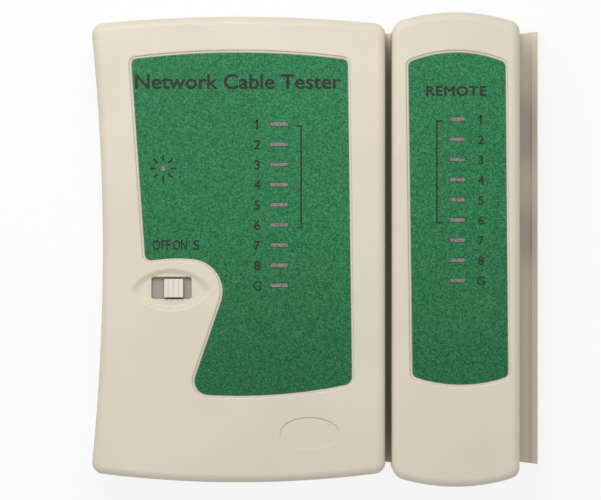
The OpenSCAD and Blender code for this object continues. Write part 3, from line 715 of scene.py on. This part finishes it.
def lens_plastic():
    """Clouded lens of an unlit lamp."""
    n = Nodes("lamp", (0.21, 0.185, 0.16), 0.35)
    grain = n.noise(1900, detail=3)
    n.colour(n.ramp(grain, [(0.35, (0.13, 0.12, 0.10)), (0.65, (0.28, 0.25, 0.215))]))
    n.rough(grain, 0.28, 0.45)
    n.bump(grain, 0.01 * MM, strength=0.4)
    return n.mat


def plated(name, colour, roughness, streak=(4, 260, 260)):
    """Plated metal with fine streaks and dull patches."""
    n = Nodes(name, colour, roughness)
    n.shader.inputs["Metallic"].default_value = 1.0
    mapping = n.add("ShaderNodeMapping")
    mapping.inputs["Scale"].default_value = streak
    n.link(n.coords, mapping.inputs["Vector"])
    lines = n.add("ShaderNodeTexNoise", Scale=14.0, Detail=3.0)
    n.link(mapping.outputs["Vector"], lines.inputs["Vector"])
    base = n.ramp(lines.outputs["Fac"], [(0.35, shade(colour, 0.8)), (0.65, shade(colour, 1.1))])
    patch = n.ramp(n.noise(350, detail=3), [(0.5, BLACK), (0.75, grey(0.35))])
    n.colour(n.mix(patch, base, shade(colour, 0.62)))
    n.rough(lines.outputs["Fac"], roughness - 0.08, roughness + 0.12)
    n.bump(lines.outputs["Fac"], 0.006 * MM, strength=0.5)
    return n.mat


def circuit_board():
    """Solder mask over tracks."""
    green = (0.018, 0.10, 0.035)
    n = Nodes("board", green, 0.35)
    brick = n.add("ShaderNodeTexBrick", Scale=260.0)
    brick.inputs["Mortar Size"].default_value = 0.06
    n.link(n.coords, brick.inputs["Vector"])
    tracks = n.ramp(brick.outputs["Fac"], [(0.4, green), (0.6, (0.03, 0.16, 0.06))])
    cloud = n.ramp(n.noise(120, detail=3), [(0.3, grey(0.85)), (0.7, WHITE)])
    n.colour(n.mix(1.0, tracks, cloud, "MULTIPLY"))
    n.rough(n.noise(300), 0.28, 0.45)
    n.bump(brick.outputs["Fac"], 0.03 * MM, strength=0.6)
    return n.mat


def foam():
    n = Nodes("foam", (0.05, 0.05, 0.055), 0.95)
    cells = n.noise(2200, detail=2)
    n.colour(n.ramp(cells, [(0.35, (0.015, 0.015, 0.017)), (0.65, (0.09, 0.09, 0.095))]))
    n.rough(cells, 0.85, 1.0)
    n.bump(cells, 0.25 * MM, strength=0.9)
    return n.mat


MATERIALS = {
    "case": moulded_plastic("case", CASE, 0.48),
    "knob": knob_plastic(),
    "label": label_film(),
    "ink": printed_ink(),
    "lamp": lens_plastic(),
    "jack": moulded_plastic("jack", (0.022, 0.022, 0.024), 0.34, grain=0.006, spots=0.15),
    "black_plastic": moulded_plastic("black_plastic", (0.02, 0.02, 0.02), 0.5, grain=0.01, spots=0.15),
    "gold": plated("gold", (0.86, 0.62, 0.24), 0.25),
    "plated_metal": plated("plated_metal", (0.62, 0.61, 0.58), 0.35),
    "screw": plated("screw", (0.56, 0.56, 0.57), 0.3, streak=(60, 60, 60)),
    "battery_case": moulded_plastic("battery_case", (0.045, 0.055, 0.075), 0.3, grain=0.004, spots=0.12),
    "wire": moulded_plastic("wire", (0.36, 0.02, 0.02), 0.45, grain=0.01, spots=0.1),
    "board": circuit_board(),
    "foam": foam(),
    "resistor": moulded_plastic("resistor", (0.6, 0.42, 0.24), 0.3, grain=0.005, spots=0.15),
    "capacitor": moulded_plastic("capacitor", (0.03, 0.04, 0.1), 0.3, grain=0.005, spots=0.1),
    "diode": moulded_plastic("diode", (0.6, 0.2, 0.08), 0.15, grain=0.003, spots=0.15),
}


def finish_piece(obj, body, slot, *nodes, material=None):
    """Gives a piece its material, chosen by its slot unless another is named, parents it to its body and
    hides the CAD nodes it stands for.
    """
    obj.data.materials.clear()
    obj.data.materials.append(MATERIALS[material or slot])
    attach(obj, body)
    if nodes:
        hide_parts(*nodes)


# ---- Labels and legends ----

def label_piece(name, outline, unit_name, dots):
    """Overlay film in its recess, with windows for the lamps and a soft upper edge."""
    edge = grow(outline, -label_gap)
    bm = bmesh.new()
    soft = 0.08 * MM
    add_loft(bm, [(edge, label_lo.z), (edge, label_top - soft),
                  (grow(edge, -soft * 0.3), label_top - soft * 0.3), (grow(edge, -soft), label_top)])
    label = new_object(name, bm)
    bm = bmesh.new()
    add_lamp_slots(bm, unit_name)
    for x, y in dots:
        dot = disc(x, y, power_window_r, 32)
        add_loft(bm, [(dot, 0), (dot, top_z + MM)])
    boolean(label, bm, "DIFFERENCE")
    smooth(label)
    return label


def ink_solid(name, shapes):
    """Flat printed shapes, each an outline, as one thin closed piece on the label."""
    bm = bmesh.new()
    for outline in shapes:
        add_loft(bm, [(outline, label_top + ink_low), (outline, label_top + ink_high)])
    return new_object(name, bm)


def stroke(x0, y0, x1, y1, width):
    """Outline of a straight printed line."""
    d = Vector((x1 - x0, y1 - y0)).normalized() * width / 2
    s = Vector((-d.y, d.x))
    return [(x0 - d.x - s.x, y0 - d.y - s.y), (x1 + d.x - s.x, y1 + d.y - s.y),
            (x1 + d.x + s.x, y1 + d.y + s.y), (x0 - d.x + s.x, y0 - d.y + s.y)]


def glyph_solid(name, text, spacing):
    """Lettering as a closed solid in its own units, one unit thick."""
    curve = bpy.data.curves.new(name, "FONT")
    curve.body, curve.space_character = text, spacing
    curve.resolution_u = 5
    curve.extrude = 0.5
    source = bpy.data.objects.new(name, curve)
    bpy.context.scene.collection.objects.link(source)
    graph = bpy.context.evaluated_depsgraph_get()
    mesh = bpy.data.meshes.new_from_object(source.evaluated_get(graph))
    bpy.data.objects.remove(source)
    bm = bmesh.new()
    bm.from_mesh(mesh)
    bmesh.ops.remove_doubles(bm, verts=bm.verts, dist=0.0002)
    return bm


def legend(name, body, text, x, y, height, width=None, bold=0.0, spacing=1.0):
    """Printed lettering centred on (x, y); bold thickens its strokes on every side."""
    source = glyph_solid(name, text, spacing)
    obj = new_object(name, source.copy())
    steps = 8 if bold else 0
    for i in range(steps):
        a = math.tau * i / steps
        copy = source.copy()
        bmesh.ops.translate(copy, verts=copy.verts, vec=(bold * math.cos(a), bold * math.sin(a), 0))
        boolean(obj, copy, "UNION")
    source.free()
    mesh = obj.data
    xs, ys = [v.co.x for v in mesh.vertices], [v.co.y for v in mesh.vertices]
    sy = height / (max(ys) - min(ys))
    sx = width / (max(xs) - min(xs)) if width else sy
    cx, cy = (max(xs) + min(xs)) / 2, (max(ys) + min(ys)) / 2
    for v in mesh.vertices:
        z = label_top + (ink_high if v.co.z > 0 else ink_low)
        v.co = ((v.co.x - cx) * sx + x, (v.co.y - cy) * sy + y, z)
    finish_piece(obj, body, "label", material="ink")


def lamp_column(unit_name, digit_x, digit_h, bracket_x, tick):
    """Digits 1 to 8 and G beside the lamp windows, and the bracket over lamps 1 to 6."""
    rows = []
    drop = 0.1 * MM
    for lamp in LAMPS:
        cy = middle(unit_name + "_led_" + lamp)[1]
        rows.append(cy)
        legend(unit_name + "_digit_" + lamp, unit_name, lamp.upper(), digit_x, cy - drop, digit_h,
               bold=0.022)
    flag_x, flag_y = digit_x + 0.05 * MM, rows[0] - drop + digit_h / 2
    flag = stroke(flag_x - 0.55 * MM, flag_y - 0.62 * MM, flag_x - 0.06 * MM, flag_y - 0.22 * MM, 0.3 * MM)
    finish_piece(ink_solid(unit_name + "_digit_1_flag", [flag]), unit_name, "label", material="ink")
    y1, y0, half = rows[0] - 0.4 * MM, rows[5] - 0.6 * MM, 0.18 * MM
    x0, x1 = sorted((bracket_x - math.copysign(half, tick), bracket_x + tick))
    bracket = ink_solid(unit_name + "_bracket", [
        rectangle(bracket_x - half, y0 + half, bracket_x + half, y1 - half),
        rectangle(x0, y0 - half, x1, y0 + half), rectangle(x0, y1 - half, x1, y1 + half)])
    finish_piece(bracket, unit_name, "label", material="ink")


# ---- Lamps ----

def add_leads(bm, cx, cy, board):
    """Two square leads between the board and a lamp's case."""
    for s in (-1, 1):
        x = cx + s * lead_x
        add_box(bm, (x - lead_half, cy - lead_half, board), (x + lead_half, cy + lead_half, board + MM))


def lamp_piece(node, body):
    """Lamp with a rounded case, two leads and a flat window bar up to the label's face."""
    lo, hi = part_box(node)
    cx, cy = middle(node)
    half = lamp_half(node)
    board, shoulder = lo.z, top_z - wall - 0.2 * MM
    case = round_box(lo.x, lo.y, hi.x, hi.y, 0.3 * MM)
    bar = round_box(cx - half, cy - bar_half_h, cx + half, cy + bar_half_h, slot_r)
    bm = bmesh.new()
    add_loft(bm, [(grow(case, -chamfer), board + MM), (case, board + MM + chamfer),
                  (case, shoulder - chamfer), (grow(case, -chamfer), shoulder),
                  (bar, shoulder), (bar, tip_edge), (grow(bar, -0.05 * MM), tip_top)])
    add_leads(bm, cx, cy, board)
    lamp = new_object(node + "_lamp", bm)
    smooth(lamp)
    finish_piece(lamp, body, "lamp", node)


def power_lamp():
    """Round lamp on a flange, whose tip fills the label's hole, and the printed rays round it."""
    cx, cy = middle("power_led")
    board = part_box("power_led")[0].z
    flange_r, case_r, tip_r, shoulder = 1.9 * MM, 1.5 * MM, power_tip_r, top_z - 3.2 * MM
    rings = [(disc(cx, cy, flange_r), board + MM), (disc(cx, cy, flange_r), board + 2 * MM),
             (disc(cx, cy, case_r), board + 2 * MM), (disc(cx, cy, case_r), shoulder)]
    for i in range(1, 6):
        a = math.pi / 2 * i / 6
        rings.append((disc(cx, cy, case_r - (case_r - tip_r) * (1 - math.cos(a))),
                      shoulder + MM * math.sin(a)))
    rings += [(disc(cx, cy, tip_r), top_z - 2 * MM), (disc(cx, cy, tip_r), tip_edge),
              (disc(cx, cy, tip_r * 0.9), tip_top)]
    bm = bmesh.new()
    add_loft(bm, rings)
    add_leads(bm, cx, cy, board)
    lamp = new_object("power_lamp", bm)
    smooth(lamp)
    finish_piece(lamp, "main", "lamp", "power_led")
    ray_r0, ray_r1, ray_w = 1.9 * MM, 2.75 * MM, 0.45 * MM
    rays = []
    for i in range(8):
        a = math.tau * i / 8
        rays.append(stroke(*on_circle((cx, cy), ray_r0, a), *on_circle((cx, cy), ray_r1, a), ray_w))
    finish_piece(ink_solid("power_rays", rays), "main", "label", material="ink")


# ---- Battery door ----

def battery_door():
    """Panel with softened edges, five grip grooves and a tongue along either side."""
    tongue, tongue_z, overlap = 1.2 * MM, 1.1 * MM, MM
    x0, x1 = door_lo.x + tongue, door_hi.x - tongue
    bm = bmesh.new()
    add_loft(bm, rear_rings(MAIN)[:7] + [(MAIN.outline(0), door_hi.z)])
    door = new_object("door_panel", bm)
    bm = bmesh.new()
    panel = rectangle(x0, -MAIN.length, x1, door_hi.y)
    small = grow(panel, -chamfer)
    add_loft(bm, [(small, -chamfer), (small, 0), (panel, chamfer), (panel, door_hi.z + MM)])
    boolean(door, bm, "INTERSECT")
    bm = bmesh.new()
    foot, mid = main_lo.y, (x0 + x1) / 2
    groove_half_h, groove_r, groove_rim = 0.55 * MM, 0.54 * MM, 0.2 * MM
    for i in range(5):
        y = foot + (8.55 + 2.2 * i) * MM
        half = (9 - i) * MM
        bar = round_box(mid - half, y - groove_half_h, mid + half, y + groove_half_h, groove_r)
        wide = grow(bar, groove_rim)
        add_loft(bm, [(wide, -MM), (wide, 0), (bar, groove_rim), (bar, 0.45 * MM),
                      (grow(bar, -0.15 * MM), 0.5 * MM)])
    boolean(door, bm, "DIFFERENCE")
    for xa, xb in ((x0 - tongue, x0 + overlap), (x1 - overlap, x1 + tongue)):
        bm = bmesh.new()
        add_box(bm, (xa, foot + 4 * MM, tongue_z), (xb, door_hi.y, door_hi.z))
        boolean(door, bm, "UNION")
    smooth(door)
    finish_piece(door, "door", "case", "battery_door")


# ---- Everything in place ----

main_front = front_shell("main_front", MAIN, main_label_outline(), "main", main_extras)
finish_piece(main_front, "main", "case", "main_front_shell")
remote_front = front_shell("remote_front", REMOTE, remote_label_outline(), "remote")
finish_piece(remote_front, "remote", "case", "remote_front_shell")

board_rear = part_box("main_pcb")[0].z
main_rear = rear_shell("main_rear", MAIN, "main", board_rear, main_rail_x)
seam, lid_gap = 0.15 * MM, 0.2 * MM
bay_y = door_hi.y + seam
bm = bmesh.new()
add_box(bm, (door_lo.x - seam, -MAIN.length, MM), (door_hi.x + seam, bay_y, door_hi.z + lid_gap))
boolean(main_rear, bm, "DIFFERENCE")
bm = bmesh.new()
bay_x0, bay_x1 = door_lo.x + 1.05 * MM, door_hi.x - 1.05 * MM
add_box(bm, (bay_x0, -MAIN.length, -MM), (bay_x1, bay_y, door_hi.z + lid_gap))
boolean(main_rear, bm, "DIFFERENCE")
bm = bmesh.new()
add_box(bm, (bay_x0, main_lo.y + 4.2 * MM, MM), (bay_x1, bay_y, 3.5 * MM))
boolean(main_rear, bm, "DIFFERENCE")
smooth(main_rear)
finish_piece(main_rear, "main", "case", "main_rear_shell")
battery_door()

remote_rear = rear_shell("remote_rear", REMOTE, "remote", part_z, remote_rail_x)
block = bmesh.new()
block_half = 49 * MM
add_box(block, (REMOTE.x0 + MM, -block_half, MM), (REMOTE.x0 + 4.4 * MM, block_half, 5.4 * MM))
boolean(remote_rear, block, "UNION")
slot_top = 49.3 * MM
web_slot = (REMOTE.x0 - MM, main_rail_x - 1.2 * MM, web_half_h + rail_clear)
bead_slot = (main_rail_x - bead_w - 2 * rail_clear, main_rail_x + rail_clear, bead_half_h + rail_clear)
for x0, x1, half in (web_slot, bead_slot):
    cutter = bmesh.new()
    add_box(cutter, (x0, -REMOTE.length, rail_z - half), (x1, slot_top, rail_z + half))
    boolean(remote_rear, cutter, "DIFFERENCE")
smooth(remote_rear)
finish_piece(remote_rear, "remote", "case", "remote_rear_shell")

main_film = label_piece("main_film", main_label_outline(), "main", [middle("power_led")])
finish_piece(main_film, "main", "label", "main_label")
remote_film = label_piece("remote_film", remote_label_outline(), "remote", [])
finish_piece(remote_film, "remote", "label", "remote_label")

for lamp in LAMPS:
    lamp_piece("main_led_" + lamp, "main")
    lamp_piece("remote_led_" + lamp, "remote")
power_lamp()

lamp_x = main_cx + 9.05 * MM
far_lamp_x = remote_cx + 0.4 * MM
lamp_column("main", digit_x=lamp_x - 4.9 * MM, digit_h=2.2 * MM,
            bracket_x=lamp_x + 4.9 * MM, tick=-0.9 * MM)
lamp_column("remote", digit_x=far_lamp_x + 5.25 * MM, digit_h=2.0 * MM,
            bracket_x=far_lamp_x - 4.6 * MM, tick=1.2 * MM)
legend("main_title", "main", "Network Cable Tester", main_cx - 0.15 * MM, 37.5 * MM, 3.4 * MM,
       width=46 * MM, bold=0.02)
legend("remote_title", "remote", "REMOTE", remote_cx + 0.15 * MM, 35.4 * MM, 2.3 * MM,
       width=13.5 * MM, bold=0.03, spacing=1.1)
mark_y, mark_h = MM, 2.3 * MM
for mark, text, shift, width in (("off", "OFF", -2.25, 4), ("on", "ON", 1.95, 3.1), ("s", "S", 5.55, 1.4)):
    legend("mark_" + mark, "main", text, switch_x + shift * MM, mark_y, mark_h,
           width=width * MM, bold=0.02)

CARRIED = {
    "switch_knob": ("knob", 0.14), "switch_body": ("plated_metal", 0.12),
    "main_pcb": ("board", 0.1), "remote_pcb": ("board", 0.1),
    "main_rj45_jack": ("jack", 0.2), "main_rj11_jack": ("jack", 0.2),
    "remote_rj45_jack": ("jack", 0.2), "remote_rj11_jack": ("jack", 0.2),
    "main_rj45_contacts": ("gold", 0.06), "main_rj11_contacts": ("gold", 0.06),
    "remote_rj45_contacts": ("gold", 0.06), "remote_rj11_contacts": ("gold", 0.06),
    "main_screws": ("screw", 0.12), "remote_screws": ("screw", 0.12),
    "battery": ("battery_case", 0.8), "battery_snap": ("black_plastic", 0.3),
    "battery_leads": ("wire", 0), "battery_pad": ("foam", 0.4),
    "counter_chip": ("black_plastic", 0.1), "timer_chip": ("black_plastic", 0.1),
    "main_resistors": ("resistor", 0.1), "main_capacitors": ("capacitor", 0.3),
    "remote_diodes": ("diode", 0.1),
}
for node, (slot, edge) in CARRIED.items():
    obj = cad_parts[node]
    obj.data.materials.clear()
    obj.data.materials.append(MATERIALS[slot])
    if edge:
        soften(obj, edge * MM)

# ---- Floor, light and camera ----

def floor():
    bm = bmesh.new()
    half, bottom, top = 1.5, -0.01, -0.0001
    add_box(bm, (-half, -half, bottom), (half, half, top))
    obj = new_object("floor", bm)
    n = Nodes("floor", (0.9, 0.9, 0.9), 0.9)
    glow = n.add("ShaderNodeEmission", Strength=1.0)
    path = n.add("ShaderNodeLightPath")
    seen = n.add("ShaderNodeMath", operation="MAXIMUM")
    n.link(path.outputs["Is Camera Ray"], seen.inputs[0])
    n.link(path.outputs["Is Glossy Ray"], seen.inputs[1])
    part = n.add("ShaderNodeMath", operation="MULTIPLY")
    part.inputs[1].default_value = 0.85
    n.link(seen.outputs[0], part.inputs[0])
    mix = n.add("ShaderNodeMixShader")
    n.link(part.outputs[0], mix.inputs[0])
    n.link(n.shader.outputs[0], mix.inputs[1])
    n.link(glow.outputs[0], mix.inputs[2])
    n.link(mix.outputs[0], n.tree.nodes["Material Output"].inputs["Surface"])
    obj.data.materials.append(n.mat)


def soft_light(name, place, size, power):
    light = bpy.data.lights.new(name, "AREA")
    light.shape, light.size, light.energy = "DISK", size, power
    obj = bpy.data.objects.new(name, light)
    obj.location = place
    obj.rotation_euler = (-Vector(place)).to_track_quat("-Z", "Y").to_euler()
    bpy.context.scene.collection.objects.link(obj)


floor()
soft_light("key", (-0.07, 0.18, 0.34), 0.22, 0.75)

scene = bpy.context.scene
world = bpy.data.worlds.new("studio")
world.use_nodes = True
world.node_tree.nodes["Background"].inputs["Color"].default_value = (1, 1, 1, 1)
world.node_tree.nodes["Background"].inputs["Strength"].default_value = 0.52
scene.world = world
scene.view_settings.view_transform = "Standard"

# The view is 134 mm wide at the front faces and a little left of the pair's middle
camera = bpy.data.objects.new("camera", bpy.data.cameras.new("camera"))
distance, view_w = 2.4, 134.15 * MM
camera.location = (main_cx + 13.81 * MM, -0.1 * MM, top_z + distance)
camera.data.sensor_width = 36
camera.data.lens = 36 * distance / view_w
camera.data.clip_end = 10
scene.collection.objects.link(camera)
scene.camera = camera
